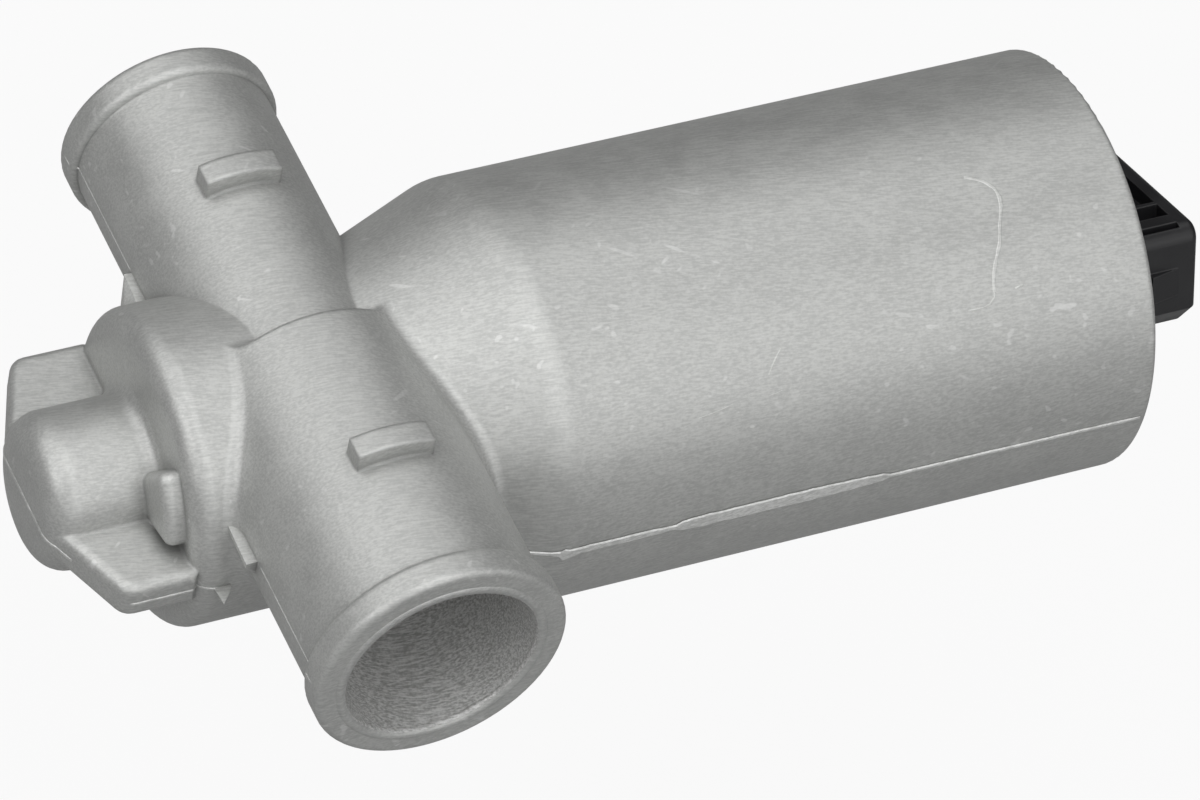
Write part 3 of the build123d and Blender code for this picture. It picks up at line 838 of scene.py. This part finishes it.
def makeRootLugs():
    shape = bmesh.new()
    for corners in rootLugs.values():
        made = []
        for corner in corners:
            made += bmesh.ops.create_vert(shape, co=Vector(corner) * mm)["vert"]
        bmesh.ops.convex_hull(shape, input=made)
    keepMark("rootLugs", shape, "rubbedAluminium")


makePartingBand()
makeRubMarks()
makeMouthLips()
makeCastingRidges()
makeRootLugs()
print("marks laid on the housing")


# Camera, at the photograph's place
cameraPlace = {
    "where": (-375.47 * mm, -533.21 * mm, 709.34 * mm),
    "heading": 33.652,  # degrees from +Y towards +X
    "down": 48.194,
    "roll": -13.218,
    "lens": 249.22,
    "sensor": 36.0,
    "nearest": 0.01,  # metres
    "farthest": 100.0,
}


def placeCamera():
    roll = math.radians(cameraPlace["roll"])
    ahead = compassWay(cameraPlace["heading"], -cameraPlace["down"])
    level = ahead.cross(Vector((0, 0, 1))).normalized()
    up = level.cross(ahead) * math.cos(roll) + level * math.sin(roll)
    right = ahead.cross(up)
    data = bpy.data.cameras.new("camera")
    data.lens = cameraPlace["lens"]
    data.sensor_width = cameraPlace["sensor"]
    data.clip_start = cameraPlace["nearest"]
    data.clip_end = cameraPlace["farthest"]
    camera = addObject("camera", data)
    turn = Matrix((right, up, -ahead)).transposed().to_4x4()
    camera.matrix_world = Matrix.Translation(cameraPlace["where"]) @ turn
    bpy.context.scene.camera = camera


# Studio: a pale floor, soft lamps all round and a white surround
studio = {
    "floorBelow": 95 * mm,  # under the valve
    "floorSize": 12.0,
    "floorBounce": (0.35, 0.35, 0.35, 1.0),  # what the floor gives back to the valve
    "floorPale": (0.82, 0.82, 0.82, 1.0),  # what the camera sees of it
    "floorWhite": 0.86,  # how much of that is plain white, with no shadow
    "surroundWhite": (0.88, 0.88, 0.88, 1.0),
    "ambient": (0.063, 0.063, 0.063, 1.0),
}


def makeFloor():
    shape = bmesh.new()
    bmesh.ops.create_grid(shape, x_segments=1, y_segments=1, size=studio["floorSize"] / 2)
    level = cadBounds[0][2] - studio["floorBelow"]
    bmesh.ops.translate(shape, verts=shape.verts, vec=(0, 0, level))
    mesh = meshFrom("floor", shape)
    floor = addObject("floor", mesh)
    material = bpy.data.materials.new("paleFloor")
    material.use_nodes = True
    tree = material.node_tree
    tree.nodes.clear()
    seen = addNode(tree, "ShaderNodeLightPath").outputs["Is Camera Ray"]
    matt = addNode(tree, "ShaderNodeBsdfDiffuse")
    wire(tree, mixColour(tree, seen, studio["floorBounce"], studio["floorPale"]), matt.inputs["Color"])
    white = addNode(tree, "ShaderNodeEmission")
    share = calculate(tree, "MULTIPLY", seen, studio["floorWhite"])
    output = addNode(tree, "ShaderNodeOutputMaterial")
    wire(tree, mixShaders(tree, share, matt.outputs[0], white.outputs[0]), output.inputs["Surface"])
    mesh.materials.append(material)


def makeWorld():
    world = bpy.data.worlds.new("surround")
    world.use_nodes = True
    bpy.context.scene.world = world
    tree = world.node_tree
    tree.nodes.clear()
    grounds = []
    for colour in (studio["ambient"], studio["surroundWhite"]):
        ground = addNode(tree, "ShaderNodeBackground")
        ground.inputs["Color"].default_value = colour
        grounds.append(ground.outputs[0])
    seen = addNode(tree, "ShaderNodeLightPath").outputs["Is Camera Ray"]
    output = addNode(tree, "ShaderNodeOutputWorld")
    wire(tree, mixShaders(tree, seen, *grounds), output.inputs["Surface"])


softLamps = {
    "away": 1.3,  # metres
    "width": 0.9,
    # heading from +Y towards +X, height, watts
    "places": {
        "lowFrontLeft": (213, 18, 1.5),
        "left": (257, 34, 3.9),
        "highLeft": (258, 60, 1.5),
        "leftBehind": (300, 40, 2.3),
        "behind": (340, 50, 2.0),
        "rightBehind": (42, 58, 1.6),
        "right": (130, 40, 1.3),
        "lowRight": (150, 15, 1.7),
        "lowFront": (180, 30, 2.8),
        "front": (180, 60, 3.4),
        "above": (0, 88, 3.3),
    },
}


def makeLamps():
    for name, (heading, height, watts) in softLamps["places"].items():
        data = bpy.data.lights.new(name, "AREA")
        data.shape = "DISK"
        data.size = softLamps["width"]
        data.energy = watts
        way = compassWay(heading, height)
        turn = way.to_track_quat("Z", "Y").to_matrix().to_4x4()
        lamp = addObject(name, data)
        lamp.matrix_world = Matrix.Translation(way * softLamps["away"]) @ turn


placeCamera()
makeFloor()
makeWorld()
makeLamps()
bpy.context.scene.view_settings.view_transform = "Standard"
print("camera, floor and lamps placed")
